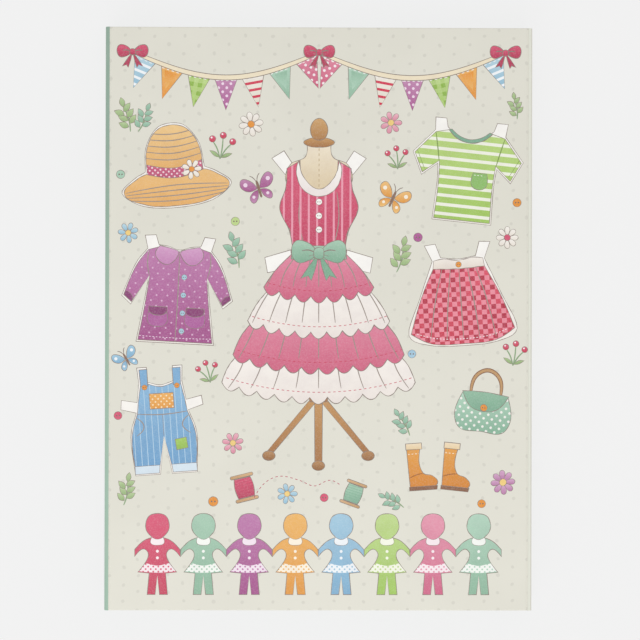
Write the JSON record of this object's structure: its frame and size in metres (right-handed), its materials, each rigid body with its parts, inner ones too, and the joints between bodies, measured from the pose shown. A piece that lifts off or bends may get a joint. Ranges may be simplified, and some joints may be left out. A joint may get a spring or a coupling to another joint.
{
  "type": "paper doll kit",
  "caption": "Flat book-style board box with a hinged printed cover and a magnetic closing flap, holding card dolls, stand feet, press-out outfit sheets and colouring pencils.",
  "frame": {"origin": "middle of the closed box's back, on the surface it lies on", "axes": "+X from the spine to the closing flap, +Y from the tail to the head of the cover, +Z out of the cover"},
  "size_m": [0.22, 0.3, 0.026],
  "materials": {
    "cover_paper": "satin laminated print",
    "spine_paper": "satin laminated print",
    "lining_paper": "matt uncoated paper",
    "greyboard": "raw grey board",
    "stay_paper": "gummed kraft",
    "magnet": "nickel plated",
    "doll_card": "printed, satin",
    "outfit_card": "printed, matt",
    "pencil_plum": "lacquered wood",
    "core_plum": "waxy pigment",
    "pencil_crimson": "lacquered wood",
    "core_crimson": "waxy pigment",
    "pencil_orange": "lacquered wood",
    "core_orange": "waxy pigment",
    "pencil_lime": "lacquered wood",
    "core_lime": "waxy pigment",
    "pencil_mint": "lacquered wood",
    "core_mint": "waxy pigment",
    "pencil_blue": "lacquered wood",
    "core_blue": "waxy pigment"
  },
  "bodies": {
    "base": {"back_board": "greyboard", "back_paper": "cover_paper", "spine_board": "greyboard", "spine_paper": "spine_paper", "spine_fold": "spine_paper", "tray_floor": "greyboard", "tray_wall_head": "greyboard", "tray_wall_tail": "greyboard", "tray_wall_spine": "greyboard", "tray_wall_fore": "greyboard", "tray_magnet_head": "magnet", "tray_magnet_tail": "magnet", "corner_stays": "stay_paper", "tray_wrap": "lining_paper", "tray_lining": "lining_paper", "doll_with_bob": "doll_card", "doll_with_bunches": "doll_card", "stand_foot_1": "doll_card", "stand_foot_2": "doll_card", "stand_foot_3": "doll_card", "stand_foot_4": "doll_card", "outfit_sheet_1": "outfit_card", "outfit_sheet_2": "outfit_card", "outfit_sheet_3": "outfit_card", "outfit_sheet_4": "outfit_card", "sun_hat": "outfit_card", "t_shirt": "outfit_card", "raincoat": "outfit_card", "party_dress": "outfit_card", "skirt": "outfit_card", "dungarees": "outfit_card", "pencil_casing_1": "pencil_plum", "pencil_casing_2": "pencil_crimson", "pencil_casing_3": "pencil_orange", "pencil_casing_4": "pencil_lime", "pencil_casing_5": "pencil_mint", "pencil_casing_6": "pencil_blue", "pencil_core_1": "core_plum", "pencil_core_2": "core_crimson", "pencil_core_3": "core_orange", "pencil_core_4": "core_lime", "pencil_core_5": "core_mint", "pencil_core_6": "core_blue"},
    "cover": {"front_board": "greyboard", "front_paper": "cover_paper", "cover_lining": "lining_paper", "flap_fold": "cover_paper"},
    "flap": {"flap_board": "greyboard", "flap_paper": "cover_paper", "flap_lining": "lining_paper", "flap_magnet_head": "magnet", "flap_magnet_tail": "magnet"}
  },
  "joints": [
    {"name": "cover_hinge", "type": "hinge", "parent": "base", "child": "cover", "pos_m": [-0.10928, 0, 0.02528], "axis": [0, -1, 0], "range_deg": [0, 180], "deforming": ["spine_fold"]},
    {"name": "flap_hinge", "type": "hinge", "parent": "cover", "child": "flap", "pos_m": [0.10928, 0, 0.02528], "axis": [0, -1, 0], "range_deg": [0, 90], "deforming": ["flap_fold"]}
  ]
}
